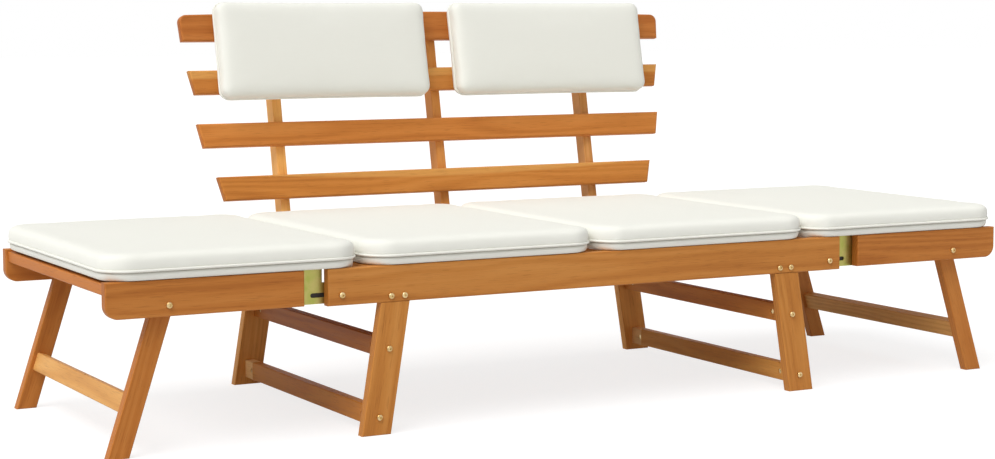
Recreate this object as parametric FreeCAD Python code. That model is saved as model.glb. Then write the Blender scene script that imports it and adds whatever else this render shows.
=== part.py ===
# Sun lounger bench: a centre bench with a backrest and two wings that swing up.
# Millimetres, +Z up, +X to the right, the front faces -Y. The origin is on the floor,
# below the middle of the outline. The right wing is drawn, and the left one is its mirror image.
import FreeCAD, Part
import math
import os

# Overall sizes, worked out from the photograph with the length taken as 1900.
overall_length = 1900.0
rail_top = 300.0
frame_depth = 604.0

# Rails of the centre frame and of the wings.
rail_thickness = 20.0
rail_edge_radius = 2.5
centre_rail_length = 1104.0
centre_rail_height = 65.0
wing_rail_height = 62.0
wing_rail_corner_radius = 23.0
wing_gap = 44.0

# Seat slats, tenoned into the rails.
slat_thickness = 20.0
slat_width = 58.0
slat_edge_radius = 3.0
tenon_length = 10.0
tenon_thickness = 9.0
tenon_shoulder = 7.0
tenon_clearance = 0.15
centre_slat_count = 10
centre_slat_inset = 76.0
wing_slat_count = 4
wing_slat_inset = 4.0
end_slat_drop = 4.5
wing_end_inset = 5.0

# Legs of the centre frame: splayed boards, the front ones lapped into the front rail.
leg_thickness = 20.0
leg_foot_inset = 63.0
leg_width = 55.8
leg_splay = 0.163
leg_edge_radius = 2.0
lap_depth = 10.0
lap_clearance = 0.15
lap_top_drop = 1.8
rear_leg_top_drop = 4.0

# Stretchers between the front and the rear legs.
stretcher_thickness = 20.0
stretcher_height = 35.0
upper_stretcher_level = 153.0
lower_stretcher_level = 32.0
stretcher_edge_radius = 2.5

# Backrest, leaning back.
back_lean_degrees = 11.4
back_setback = 2.4
back_slat_thickness = 18.0
back_slat_height = 48.5
back_slat_pitch = 107.5
back_slat_first = 70.0
back_slat_edge_radius = 4.0
back_slat_tops = [508.0, 541.0, 551.0, 563.0]
back_slat_bottoms = [496.0, 531.0, 540.0, 559.0]
top_slat_height = 53.5
top_slat_arch = 7.0
top_slat_corner_radius = 15.0
post_width = 20.0
post_depth = 33.0
post_inset = 190.0
post_top_level = 436.0
post_shoulder = 18.0
post_edge_radius = 2.0

# Wing pivots, slotted plates and the glide strips behind them.
pivot_inset = 26.0
pivot_drop = 46.7
pivot_radius = 4.0
running_clearance = 0.05
side_clearance = 0.1
plate_thickness = 3.0
plate_slot_length = 47.0
plate_tongue_radius = 15.0
plate_tongue_top = 22.0
plate_neck = 29.0
plate_overlap = 36.0
plate_screw_low = -5.0
plate_screw_high = 14.0
plate_screw_near = 12.0
plate_screw_far = 28.0
plate_slat_clearance = 2.0
plate_tail_drop = 6.0
glide_thickness = 2.0
glide_height = 18.0
glide_inner = 12.0
glide_outer = 60.0

# Swinging legs of the wings.
wing_leg_inset = 110.0
wing_leg_reach = 22.8
wing_leg_splay_degrees = 17.9
wing_leg_width = 36.0
wing_leg_thickness = 20.0
wing_leg_spacer = 5.6
wing_leg_stop_clearance = 0.2
wing_leg_edge_radius = 2.0
wing_stretcher_distance = 180.0
wing_stretcher_height = 34.0
wing_stretcher_thickness = 20.0
wing_stretcher_tenon = 10.0
wing_stretcher_shoulder = 5.0

# Fasteners.
bolt_head_radius = 5.7
bolt_head_height = 4.0
bolt_head_rounding = 2.6
bolt_socket_across = 4.0
bolt_socket_depth = 2.0
leg_bolt_radius = 3.0
leg_bolt_edge = 17.302
leg_bolt_spacing = 25.9
leg_bolt_drop = 54.0
hole_clearance = 0.2
thread_clearance = 0.05
nut_across = 12.0
nut_height = 6.0
washer_radius = 9.0
washer_thickness = 1.5
barrel_radius = 5.0
barrel_length = 18.0
barrel_distance = 32.0
bolt_run_out = 6.0
bolt_tip_reach = 2.0
bolt_tip_room = 1.0
post_bolt_upper_drop = 31.0
post_bolt_lower_drop = 51.0
post_bolt_recess = 4.0
post_bolt_room = 1.0
screw_radius = 2.0
screw_head_radius = 4.0
screw_head_height = 2.2
plate_screw_length = 15.0
slat_screw_cover = 5.0

# Cushions: crowned pads with a seam at mid-height and rounded corners.
cushion_clearance = 0.3
seat_cushion_height = 49.0
seat_cushion_edge = 36.0
seat_cushion_seam = 16.0
seat_cushion_front = -3.0
seat_cushion_rear = -2.0
seat_cushion_split = 478.5
cushion_gap = 2.0
cushion_corner_radius = 58.0
cushion_draw_in = 3.0
cushion_foot_inset = 4.0
cushion_edge_inset = 7.0
cushion_bulge = 0.6
cushion_crown_step = 1.0
end_cushion_inset = 1.0
back_cushion_inner = 31.0
back_cushion_outer = 495.5
back_cushion_low = 269.0
back_cushion_high = 466.0
back_cushion_height = 50.0
back_cushion_edge = 36.0
back_cushion_seam = 18.0
back_cushion_corner_radius = 20.0

# How far a cutting shape runs past what it cuts.
cut_overrun = 5.0

# Values that follow from the ones above.
half_length = overall_length / 2
half_centre = centre_rail_length / 2
centre_rail_bottom = rail_top - centre_rail_height
wing_rail_bottom = rail_top - wing_rail_height
slat_bottom = rail_top - slat_thickness
wing_rail_start = half_centre + wing_gap
inner_front = rail_thickness
inner_rear = frame_depth - rail_thickness
pivot_offset = half_centre - pivot_inset
pivot_level = rail_top - pivot_drop
wing_leg_offset = half_length - wing_leg_inset
wing_leg_level = slat_bottom - wing_leg_stop_clearance - wing_leg_reach
leg_foot_outer = half_centre - leg_foot_inset
post_offset = half_centre - post_inset
centre_slat_span = centre_rail_length - 2 * centre_slat_inset
leg_bolt_level = rail_top - leg_bolt_drop
leg_bolt_outer = leg_foot_outer - leg_splay * leg_bolt_level - leg_bolt_edge
leg_bolt_inner = leg_bolt_outer - leg_bolt_spacing
back_lean = math.radians(back_lean_degrees)
back_start = frame_depth + back_setback
slat_screw_length = back_slat_thickness + post_depth - slat_screw_cover
seat_cushion_depth = frame_depth - seat_cushion_front - seat_cushion_rear
wing_leg_splay = math.radians(wing_leg_splay_degrees)
post_start = back_start + back_slat_thickness / math.cos(back_lean)
post_slope = math.tan(back_lean)
post_run = post_depth / math.cos(back_lean)
front_top_level = rail_top + post_top_level * math.cos(back_lean)
rear_top_level = front_top_level - post_depth * math.sin(back_lean)
outline_rear = post_start + (rear_top_level - rail_top) * post_slope + post_run
outline_front = -bolt_head_height - side_clearance
outline_middle = (outline_rear + outline_front) / 2


def point(x, y, z):
    return FreeCAD.Vector(x, y, z)


def box(x_low, x_high, y_low, y_high, z_low, z_high):
    corner = point(x_low, y_low, z_low)
    return Part.makeBox(x_high - x_low, y_high - y_low, z_high - z_low, corner)


def rod(x, z, y_low, y_high, radius):
    return Part.makeCylinder(radius, y_high - y_low, point(x, y_low, z), point(0, 1, 0))


def board(corners, y_low, y_high):
    # A board with an outline of straight sides in the XZ plane.
    vertices = [point(x, y_low, z) for x, z in corners]
    outline = Part.makePolygon(vertices + [vertices[0]])
    return Part.Face(outline).extrude(point(0, y_high - y_low, 0))


def rounded_outline(shape, axis, radius):
    # Rounds the edges around both broad faces of a board that lie across the axis.
    edges = []
    for edge in shape.Edges:
        size = edge.BoundBox
        width = {"x": size.XLength, "y": size.YLength, "z": size.ZLength}[axis]
        if width < 0.001:
            edges.append(edge)
    return shape.makeFillet(radius, edges)


def rounded_along(shape, axis, radius):
    # Rounds the edges of a straight bar that run along the axis.
    edges = []
    for edge in shape.Edges:
        size = edge.BoundBox
        widths = {"x": size.XLength, "y": size.YLength, "z": size.ZLength}
        along = widths.pop(axis)
        if along > 1.0 and max(widths.values()) < 0.001:
            edges.append(edge)
    return shape.makeFillet(radius, edges)


def mirrored(shape):
    return shape.mirror(point(0, 0, 0), point(1, 0, 0))


def rear_mirrored(shape):
    return shape.mirror(point(0, frame_depth / 2, 0), point(0, 1, 0))


def leaned(shape):
    # Turns a shape drawn upright, with the slats' front at Y = 0 and the rail's top at Z = 0.
    turned = shape.copy()
    turned.rotate(point(0, 0, 0), point(1, 0, 0), -back_lean_degrees)
    turned.translate(point(0, back_start, rail_top))
    return turned


def write(name, shape):
    placed = shape.copy()
    placed.translate(point(0, -outline_middle, 0))
    placed.exportStep("parts/" + name + ".step")


def hexagon(x, z, y_low, y_high, across):
    reach = across / math.sqrt(3)
    corners = []
    for step in range(6):
        angle = math.radians(60 * step)
        corners.append((x + reach * math.cos(angle), z + reach * math.sin(angle)))
    return board(corners, y_low, y_high)


def bolt(x, z, seat, tip, radius):
    # A pan-head bolt along Y. Its head sits on the plane Y = seat, and its tip points away from it.
    way = 1 if tip > seat else -1
    head = rod(x, z, 0, bolt_head_height, bolt_head_radius)
    rim = [edge for edge in head.Edges if edge.BoundBox.YMin > bolt_head_height - 0.001 and edge.Length > 1]
    rim = [edge for edge in rim if edge.BoundBox.YLength < 0.001]
    head = head.makeFillet(bolt_head_rounding, rim)
    socket_start = bolt_head_height - bolt_socket_depth
    head = head.cut(hexagon(x, z, socket_start, bolt_head_height + cut_overrun, bolt_socket_across))
    shank = rod(x, z, -abs(tip - seat), 0, radius)
    whole = head.fuse(shank).removeSplitter()
    if way > 0:
        whole = whole.mirror(point(0, 0, 0), point(0, 1, 0))
    whole.translate(point(0, seat, 0))
    return whole


def nut(x, z, y_low, radius):
    blank = hexagon(x, z, y_low, y_low + nut_height, nut_across)
    bore = rod(x, z, y_low - cut_overrun, y_low + nut_height + cut_overrun, radius + thread_clearance)
    return blank.cut(bore)


def washer(x, z, y_low, y_high, outer, radius):
    blank = rod(x, z, y_low, y_high, outer)
    bore = rod(x, z, y_low - cut_overrun, y_high + cut_overrun, radius + running_clearance)
    return blank.cut(bore)


def screw(length, radius):
    # A countersunk screw along +Y with the flat of its head at Y = 0.
    head = Part.makeCone(screw_head_radius, radius, screw_head_height, point(0, 0, 0), point(0, 1, 0))
    shank = rod(0, 0, screw_head_height, length, radius)
    return head.fuse(shank).removeSplitter()


def screw_hole(length, radius):
    # The hole for such a screw, open at Y = 0, with clearance all round.
    gap = thread_clearance
    mouth = screw_head_radius + gap
    head = Part.makeCone(mouth, radius + gap, screw_head_height, point(0, 0, 0), point(0, 1, 0))
    shank = rod(0, 0, screw_head_height / 2, length + gap, radius + gap)
    return head.fuse(shank)


def arc(start, middle, end):
    return Part.Arc(start, middle, end).toShape()


def pillow_profile(half, height, edge, seam):
    # The side view of a pad: flat below, bulging to the seam, crowned on top.
    foot = half - cushion_foot_inset
    rim = half - cushion_edge_inset
    low_left = point(-foot, 0, 0)
    low_right = point(foot, 0, 0)
    high_left = point(-rim, 0, edge)
    high_right = point(rim, 0, edge)
    base = Part.makeLine(low_left, low_right)
    right = arc(low_right, point(half, 0, seam), high_right)
    crown = arc(high_right, point(0, 0, height), high_left)
    left = arc(high_left, point(-half, 0, seam), low_left)
    return Part.Wire([base, right, crown, left])


def pillow(width, depth, height, edge, seam, corner):
    # A pad on the plane Z = 0, centred on the origin: a side view, an end view and a plan in common.
    # The two views bulge a little past the plan, so that the plan trims them cleanly at the corners, and
    # the crown of the end view stands higher, so that the two crowns cross without touching at the top.
    side = Part.Face(pillow_profile(width / 2 + cushion_bulge, height, edge, seam))
    side = side.extrude(point(0, depth + 2 * cut_overrun, 0))
    side.translate(point(0, -depth / 2 - cut_overrun, 0))
    end = Part.Face(pillow_profile(depth / 2 + cushion_bulge, height + cushion_crown_step, edge, seam))
    end = end.extrude(point(0, width + 2 * cut_overrun, 0))
    end.translate(point(0, -width / 2 - cut_overrun, 0))
    end.rotate(point(0, 0, 0), point(0, 0, 1), 90)
    across = width / 2
    along = depth / 2
    bend = corner * (1 - math.sqrt(0.5))
    edges = []
    for turn_x, turn_y in ((1, 1), (-1, 1), (-1, -1), (1, -1)):
        on_side = point(turn_x * across, turn_y * (along - corner), 0)
        on_end = point(turn_x * (across - corner), turn_y * along, 0)
        at_corner = point(turn_x * (across - bend), turn_y * (along - bend), 0)
        first = on_side if turn_x == turn_y else on_end
        last = on_end if turn_x == turn_y else on_side
        edges.append((first, at_corner, last))
    draw = (point(0, along - cushion_draw_in, 0), point(-across + cushion_draw_in, 0, 0))
    draw = draw + (point(0, -along + cushion_draw_in, 0), point(across - cushion_draw_in, 0, 0))
    outline = []
    for index in range(4):
        here = edges[index]
        following = edges[(index + 1) % 4]
        outline.append(arc(here[0], here[1], here[2]))
        outline.append(arc(here[2], draw[index], following[0]))
    plan = Part.Face(Part.Wire(outline)).extrude(point(0, 0, height + 2 * cut_overrun))
    plan.translate(point(0, 0, -cut_overrun))
    return side.common(end).common(plan)


def spaced(low, high, width, count):
    # Lower edges of equal widths spread evenly between two limits.
    pitch = (high - low - width) / (count - 1)
    return [low + pitch * index for index in range(count)]


def seat_slat(x_low):
    # A slat across the frame with a tenon at each end.
    body = box(x_low, x_low + slat_width, inner_front, inner_rear, slat_bottom, rail_top)
    body = rounded_along(body, "y", slat_edge_radius)
    tenon_low = slat_bottom + (slat_thickness - tenon_thickness) / 2
    tenon_high = tenon_low + tenon_thickness
    x_start = x_low + tenon_shoulder
    x_end = x_low + slat_width - tenon_shoulder
    y_start = inner_front - tenon_length
    y_end = inner_rear + tenon_length
    return body.fuse(box(x_start, x_end, y_start, y_end, tenon_low, tenon_high)).removeSplitter()


def mortises(lows):
    # The sockets in both rails for a row of slats, a little larger than the tenons.
    tenon_low = slat_bottom + (slat_thickness - tenon_thickness) / 2
    z_low = tenon_low - tenon_clearance
    z_high = tenon_low + tenon_thickness + tenon_clearance
    sockets = []
    for low in lows:
        x_low = low + tenon_shoulder - tenon_clearance
        x_high = low + slat_width - tenon_shoulder + tenon_clearance
        y_low = inner_front - tenon_length - tenon_clearance
        y_high = inner_rear + tenon_length + tenon_clearance
        sockets.append(box(x_low, x_high, y_low, y_high, z_low, z_high))
    return Part.makeCompound(sockets)


def leg_outer(z):
    return leg_foot_outer - leg_splay * z


def leg_outline(z_low, z_high, margin):
    outer_low = leg_outer(z_low) + margin
    outer_high = leg_outer(z_high) + margin
    inner_low = leg_outer(z_low) - leg_width - margin
    inner_high = leg_outer(z_high) - leg_width - margin
    return [(inner_low, z_low), (outer_low, z_low), (outer_high, z_high), (inner_high, z_high)]


def leg_middle(z):
    return leg_outer(z) - leg_width / 2


def post_front(z):
    return post_start + (z - rail_top) * post_slope


def through_bore(x, z, radius):
    # A bore from front to rear through everything at one place.
    return rod(x, z, -cut_overrun, frame_depth + leg_thickness + cut_overrun, radius)


os.makedirs("parts", exist_ok=True)

# Seat slats of the centre frame.
centre_slat_lows = spaced(-centre_slat_span / 2, centre_slat_span / 2, slat_width, centre_slat_count)
for index, low in enumerate(centre_slat_lows):
    write("seat_slat_%02d" % (index + 1), seat_slat(low))

# Front and rear rail of the centre frame, bored for the leg, post and pivot bolts.
lap_top = slat_bottom - lap_top_drop
centre_sockets = mortises(centre_slat_lows)
rail_blank = box(-half_centre, half_centre, 0, rail_thickness, centre_rail_bottom, rail_top)
front_rail = rounded_outline(rail_blank, "y", rail_edge_radius).cut(centre_sockets)
rear_rail = rear_mirrored(rounded_outline(rail_blank, "y", rail_edge_radius)).cut(centre_sockets)
leg_bolt_places = [leg_bolt_inner, leg_bolt_outer, -leg_bolt_inner, -leg_bolt_outer]
for x in leg_bolt_places:
    bore = through_bore(x, leg_bolt_level, leg_bolt_radius + hole_clearance)
    front_rail = front_rail.cut(bore)
    rear_rail = rear_rail.cut(bore)
for x in (pivot_offset, -pivot_offset):
    bore = through_bore(x, pivot_level, pivot_radius + running_clearance)
    front_rail = front_rail.cut(bore)
    rear_rail = rear_rail.cut(bore)
lap_low = centre_rail_bottom - cut_overrun
lap_back = rail_thickness + cut_overrun
lap_room = board(leg_outline(lap_low, lap_top + lap_clearance, lap_clearance), lap_depth, lap_back)
front_rail = front_rail.cut(lap_room).cut(mirrored(lap_room))
post_bolt_levels = [rail_top - post_bolt_upper_drop, rail_top - post_bolt_lower_drop]
post_places = [-post_offset, 0.0, post_offset]
for x in post_places:
    for z in post_bolt_levels:
        bore = through_bore(x, z, leg_bolt_radius + hole_clearance)
        rear_rail = rear_rail.cut(bore)
write("front_rail", front_rail)
write("rear_rail", rear_rail)

# Legs: the front ones are halved to lie behind the rail, flush with its front.
stretcher_levels = [upper_stretcher_level, lower_stretcher_level]
front_leg = rounded_outline(board(leg_outline(0, lap_top, 0), 0, leg_thickness), "y", leg_edge_radius)
front_leg = front_leg.cut(box(0, half_length, -cut_overrun, lap_depth, centre_rail_bottom, rail_top))
rear_leg_top = rail_top - rear_leg_top_drop
rear_leg_back = frame_depth + leg_thickness
rear_leg = board(leg_outline(0, rear_leg_top, 0), frame_depth, rear_leg_back)
rear_leg = rounded_outline(rear_leg, "y", leg_edge_radius)
for x in (leg_bolt_inner, leg_bolt_outer):
    bore = through_bore(x, leg_bolt_level, leg_bolt_radius + hole_clearance)
    front_leg = front_leg.cut(bore)
    rear_leg = rear_leg.cut(bore)
for z in stretcher_levels:
    bore = through_bore(leg_middle(z), z, leg_bolt_radius + hole_clearance)
    front_leg = front_leg.cut(bore)
    rear_leg = rear_leg.cut(bore)
write("front_right_leg", front_leg)
write("front_left_leg", mirrored(front_leg))
write("rear_right_leg", rear_leg)
write("rear_left_leg", mirrored(rear_leg))

# Stretchers, each held by a bolt and a barrel nut at either end.
stretcher_bolts = []
for name, z in zip(("upper", "lower"), stretcher_levels):
    x = leg_middle(z)
    half = stretcher_thickness / 2
    low = z - stretcher_height / 2
    bar = box(x - half, x + half, leg_thickness, frame_depth, low, low + stretcher_height)
    bar = rounded_along(bar, "y", stretcher_edge_radius)
    front_barrel = leg_thickness + barrel_distance
    rear_barrel = frame_depth - barrel_distance
    front_tip = front_barrel + barrel_radius + bolt_run_out
    rear_tip = rear_barrel - barrel_radius - bolt_run_out
    front_low = leg_thickness - cut_overrun
    rear_high = frame_depth + cut_overrun
    bar = bar.cut(rod(x, z, front_low, front_tip + bolt_tip_room, leg_bolt_radius + hole_clearance))
    bar = bar.cut(rod(x, z, rear_tip - bolt_tip_room, rear_high, leg_bolt_radius + hole_clearance))
    for y in (front_barrel, rear_barrel):
        room = Part.makeCylinder(barrel_radius + thread_clearance, stretcher_thickness + 2 * cut_overrun)
        room.rotate(point(0, 0, 0), point(0, 1, 0), 90)
        room.translate(point(x - half - cut_overrun, y, z))
        bar = bar.cut(room)
        barrel = Part.makeCylinder(barrel_radius, barrel_length)
        barrel.rotate(point(0, 0, 0), point(0, 1, 0), 90)
        barrel.translate(point(x - barrel_length / 2, y, z))
        thread_low = y - barrel_radius - cut_overrun
        thread_high = y + barrel_radius + cut_overrun
        barrel = barrel.cut(rod(x, z, thread_low, thread_high, leg_bolt_radius + thread_clearance))
        stretcher_bolts.append(barrel)
    stretcher_bolts.append(bolt(x, z, 0, front_tip, leg_bolt_radius))
    stretcher_bolts.append(bolt(x, z, rear_leg_back, rear_tip, leg_bolt_radius))
    write("right_" + name + "_stretcher", bar)
    write("left_" + name + "_stretcher", mirrored(bar))
stretcher_bolts = stretcher_bolts + [mirrored(piece) for piece in stretcher_bolts]
write("stretcher_bolts", Part.makeCompound(stretcher_bolts))

# Bolts and nuts that hold the legs to the rails.
rear_nut = inner_rear - nut_height
leg_bolts = []
for x in leg_bolt_places:
    z = leg_bolt_level
    leg_bolts.append(bolt(x, z, 0, leg_thickness + nut_height + bolt_tip_reach, leg_bolt_radius))
    leg_bolts.append(nut(x, z, leg_thickness, leg_bolt_radius))
    leg_bolts.append(bolt(x, z, rear_leg_back, rear_nut - bolt_tip_reach, leg_bolt_radius))
    leg_bolts.append(nut(x, z, rear_nut, leg_bolt_radius))
write("leg_bolts", Part.makeCompound(leg_bolts))

# Back posts, sawn with a foot that bears flat on the rear rail.
shoulder_level = rail_top + post_shoulder
post_corners = [
    (frame_depth, centre_rail_bottom),
    (frame_depth, rail_top),
    (post_front(shoulder_level), shoulder_level),
    (post_front(front_top_level), front_top_level),
    (post_front(rear_top_level) + post_run, rear_top_level),
    (post_front(centre_rail_bottom) + post_run, centre_rail_bottom),
]
post_vertices = [point(-post_width / 2, y, z) for y, z in post_corners]
post = Part.Face(Part.makePolygon(post_vertices + [post_vertices[0]])).extrude(point(post_width, 0, 0))
post = rounded_outline(post, "x", post_edge_radius)
back_slat_lows = [back_slat_first + back_slat_pitch * index for index in range(4)]
back_slat_heights = [back_slat_height, back_slat_height, back_slat_height, top_slat_height]
slat_screw_levels = [low + high / 2 for low, high in zip(back_slat_lows, back_slat_heights)]
screw_seat = back_slat_thickness + post_depth
post_bolts = []
slat_screws = []
slat_holes = []
for level in slat_screw_levels:
    one = screw(slat_screw_length, screw_radius)
    one.rotate(point(0, 0, 0), point(0, 0, 1), 180)
    one.translate(point(0, screw_seat, level))
    slat_screws.append(leaned(one))
    hole = screw_hole(slat_screw_length, screw_radius)
    hole.rotate(point(0, 0, 0), point(0, 0, 1), 180)
    hole.translate(point(0, screw_seat, level))
    slat_holes.append(leaned(hole))
for hole in slat_holes:
    post = post.cut(hole)
for z in post_bolt_levels:
    post_rear = post_front(z) + post_run
    seat = post_rear - post_bolt_recess
    mouth = post_rear + cut_overrun
    post = post.cut(rod(0, z, frame_depth - cut_overrun, mouth, leg_bolt_radius + hole_clearance))
    post = post.cut(rod(0, z, seat, mouth, bolt_head_radius + post_bolt_room))
    post_bolts.append(bolt(0, z, seat, rear_nut - bolt_tip_reach, leg_bolt_radius))
    post_bolts.append(nut(0, z, rear_nut, leg_bolt_radius))
all_post_bolts = []
all_slat_screws = []
all_slat_holes = []
for name, x in zip(("left", "centre", "right"), post_places):
    shift = point(x, 0, 0)
    write("back_post_" + name, post.translated(shift))
    all_post_bolts.extend([piece.translated(shift) for piece in post_bolts])
    all_slat_screws.extend([piece.translated(shift) for piece in slat_screws])
    all_slat_holes.extend([piece.translated(shift) for piece in slat_holes])
write("post_bolts", Part.makeCompound(all_post_bolts))
write("slat_screws", Part.makeCompound(all_slat_screws))

# Back slats, numbered from the lowest; the top one has an arched upper edge.
for index in range(4):
    low = back_slat_lows[index]
    high = low + back_slat_heights[index]
    top = back_slat_tops[index]
    bottom = back_slat_bottoms[index]
    if index < 3:
        slat = board([(-bottom, low), (bottom, low), (top, high), (-top, high)], 0, back_slat_thickness)
    else:
        left_low = point(-bottom, 0, low)
        right_low = point(bottom, 0, low)
        right_high = point(top, 0, high)
        left_high = point(-top, 0, high)
        sides = [Part.makeLine(left_low, right_low), Part.makeLine(right_low, right_high)]
        sides.append(arc(right_high, point(0, 0, high + top_slat_arch), left_high))
        sides.append(Part.makeLine(left_high, left_low))
        slat = Part.Face(Part.Wire(sides)).extrude(point(0, back_slat_thickness, 0))
        corners = [edge for edge in slat.Edges if edge.BoundBox.YLength > 1 and edge.BoundBox.ZMax > high - 1]
        slat = slat.makeFillet(top_slat_corner_radius, corners)
    slat = leaned(rounded_outline(slat, "y", back_slat_edge_radius))
    for hole in all_slat_holes:
        slat = slat.cut(hole)
    write("back_slat_%d" % (index + 1), slat)

# Wing slats and rails. The outermost slat is the one seen at the wing's end.
wing_slat_start = wing_rail_start + wing_slat_inset
wing_slat_end = half_length - wing_end_inset
wing_slat_lows = spaced(wing_slat_start, wing_slat_end, slat_width, wing_slat_count)
end_slat = seat_slat(wing_slat_lows[-1])
end_slat.translate(point(0, 0, -end_slat_drop))
wing_slats = Part.makeCompound([seat_slat(low) for low in wing_slat_lows[:-1]] + [end_slat])
write("right_wing_slats", wing_slats)
write("left_wing_slats", mirrored(wing_slats))
curve = wing_rail_corner_radius
bend = curve * (1 - math.sqrt(0.5))
corner_start = point(half_length - curve, 0, wing_rail_bottom)
corner_middle = point(half_length - bend, 0, wing_rail_bottom + bend)
corner_end = point(half_length, 0, wing_rail_bottom + curve)
start_low = point(wing_rail_start, 0, wing_rail_bottom)
start_high = point(wing_rail_start, 0, rail_top)
end_high = point(half_length, 0, rail_top)
wing_outline = [Part.makeLine(start_low, corner_start), arc(corner_start, corner_middle, corner_end)]
wing_outline.append(Part.makeLine(corner_end, end_high))
wing_outline.append(Part.makeLine(end_high, start_high))
wing_outline.append(Part.makeLine(start_high, start_low))
wing_rail = Part.Face(Part.Wire(wing_outline)).extrude(point(0, rail_thickness, 0))
wing_rail = rounded_outline(wing_rail, "y", rail_edge_radius)
leg_pin_bore = through_bore(wing_leg_offset, wing_leg_level, pivot_radius + running_clearance)
wing_rail = wing_rail.cut(leg_pin_bore)
plate_screws = []
plate_holes = []
for u in (plate_screw_near, plate_screw_far):
    for w in (plate_screw_low, plate_screw_high):
        x = wing_rail_start + u
        z = pivot_level + w
        one = screw(plate_screw_length, screw_radius)
        one.rotate(point(0, 0, 0), point(0, 0, 1), 180)
        one.translate(point(x, inner_front + plate_thickness, z))
        plate_screws.append(one)
        hole = screw_hole(plate_screw_length, screw_radius)
        hole.rotate(point(0, 0, 0), point(0, 0, 1), 180)
        hole.translate(point(x, inner_front + plate_thickness, z))
        plate_holes.append(hole)
wing_front_rail = wing_rail
for hole in plate_holes:
    wing_front_rail = wing_front_rail.cut(hole)
wing_rear_rail = rear_mirrored(wing_front_rail)
end_sockets = mortises(wing_slat_lows[-1:])
end_sockets.translate(point(0, 0, -end_slat_drop))
wing_sockets = Part.makeCompound([mortises(wing_slat_lows[:-1]), end_sockets])
wing_front_rail = wing_front_rail.cut(wing_sockets)
wing_rear_rail = wing_rear_rail.cut(wing_sockets)
write("right_wing_front_rail", wing_front_rail)
write("left_wing_front_rail", mirrored(wing_front_rail))
write("right_wing_rear_rail", wing_rear_rail)
write("left_wing_rear_rail", mirrored(wing_rear_rail))

# Slotted hinge plates on the inner faces of the wing rails, and their screws.
plate_low = wing_rail_bottom
plate_high = rail_top
tail_high = slat_bottom - plate_tail_drop
tail_start = wing_slat_start - plate_slat_clearance
tail_end = wing_rail_start + plate_overlap
neck = pivot_offset + plate_neck
tongue_high = pivot_level + plate_tongue_top
slope_end = pivot_offset + plate_tongue_top - plate_tongue_radius
plate_corners = [
    (pivot_offset, plate_low),
    (tail_end, plate_low),
    (tail_end, tail_high),
    (tail_start, tail_high),
    (tail_start, plate_high),
    (neck, plate_high),
    (neck, tongue_high),
    (slope_end, tongue_high),
    (pivot_offset, pivot_level + plate_tongue_radius),
]
plate_back = inner_front + plate_thickness
plate = board(plate_corners, inner_front, plate_back)
tongue_end = rod(pivot_offset, pivot_level, inner_front, plate_back, plate_tongue_radius)
tongue_end = tongue_end.common(box(0, half_length, 0, frame_depth, plate_low, rail_top))
plate = plate.fuse(tongue_end).removeSplitter()
slot_radius = pivot_radius + running_clearance
slot_end = pivot_offset + plate_slot_length
slot_low = pivot_level - slot_radius
slot_high = pivot_level + slot_radius
slot_front = inner_front - cut_overrun
slot_back = plate_back + cut_overrun
slot = box(pivot_offset, slot_end, slot_front, slot_back, slot_low, slot_high)
slot = slot.fuse(rod(pivot_offset, pivot_level, slot_front, slot_back, slot_radius))
slot = slot.fuse(rod(slot_end, pivot_level, slot_front, slot_back, slot_radius))
plate = plate.cut(slot)
for hole in plate_holes:
    plate = plate.cut(hole)
write("right_front_plate", plate)
write("left_front_plate", mirrored(plate))
write("right_rear_plate", rear_mirrored(plate))
write("left_rear_plate", mirrored(rear_mirrored(plate)))
plate_screws = plate_screws + [rear_mirrored(piece) for piece in plate_screws]
write("right_plate_screws", Part.makeCompound(plate_screws))
write("left_plate_screws", mirrored(Part.makeCompound(plate_screws)))

# Pivot bolts of the wings, through the centre rails and the slots, and the glide strips behind the plates.
glide_start = plate_back + side_clearance
washer_start = glide_start + glide_thickness
nut_start = washer_start + washer_thickness
pivot_tip = nut_start + nut_height + bolt_tip_reach
pivot_set = [
    bolt(pivot_offset, pivot_level, -side_clearance, pivot_tip, pivot_radius),
    washer(pivot_offset, pivot_level, washer_start, nut_start, washer_radius, pivot_radius),
    nut(pivot_offset, pivot_level, nut_start, pivot_radius),
]
pivot_set = pivot_set + [rear_mirrored(piece) for piece in pivot_set]
write("right_pivot_bolts", Part.makeCompound(pivot_set))
write("left_pivot_bolts", mirrored(Part.makeCompound(pivot_set)))
glide_low = pivot_level - glide_height / 2
glide_high = pivot_level + glide_height / 2
glide_from = pivot_offset - glide_inner
glide_to = pivot_offset + glide_outer
glide = box(glide_from, glide_to, glide_start, washer_start, glide_low, glide_high)
glide = glide.cut(through_bore(pivot_offset, pivot_level, pivot_radius + running_clearance))
glides = Part.makeCompound([glide, rear_mirrored(glide)])
write("right_glide_strips", glides)
write("left_glide_strips", mirrored(glides))

# Swinging legs: a flat on the top end stops each leg under a slat, and the round side lets it fold in.
wing_leg_front = inner_front + wing_leg_spacer
wing_leg_back = wing_leg_front + wing_leg_thickness
half_width = wing_leg_width / 2
splay_sine = math.sin(wing_leg_splay)
splay_cosine = math.cos(wing_leg_splay)


def leg_point(out, down):
    # A point of the swinging leg: out across the leg, down along it from its pivot.
    x = wing_leg_offset + out * splay_cosine + down * splay_sine
    z = wing_leg_level + out * splay_sine - down * splay_cosine
    return point(x, wing_leg_front, z)


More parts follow.
